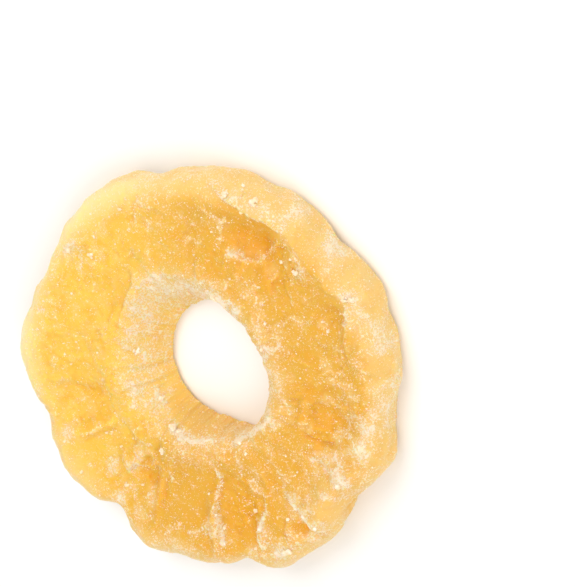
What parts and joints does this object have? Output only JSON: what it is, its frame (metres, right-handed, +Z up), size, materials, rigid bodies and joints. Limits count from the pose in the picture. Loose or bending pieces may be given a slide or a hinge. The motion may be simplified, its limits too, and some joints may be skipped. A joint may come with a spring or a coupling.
{
  "type": "dried pineapple ring",
  "caption": "Lobed ring of dried, sugared pineapple with a slanted hole and a craggy face of hollows, ridges and fibres.",
  "frame": {"origin": "middle of the ring's box, on the surface that the ring lies on", "axes": "+Z up out of the craggy face, along the hole; +X and +Y in the plane of the ring"},
  "size_m": [0.0794, 0.0778, 0.0113],
  "materials": {
    "dried_pineapple": "satin, translucent, with a thin frost of dried sugar"
  },
  "bodies": {
    "root": {"pineapple_ring": "dried_pineapple"}
  },
  "joints": []
}
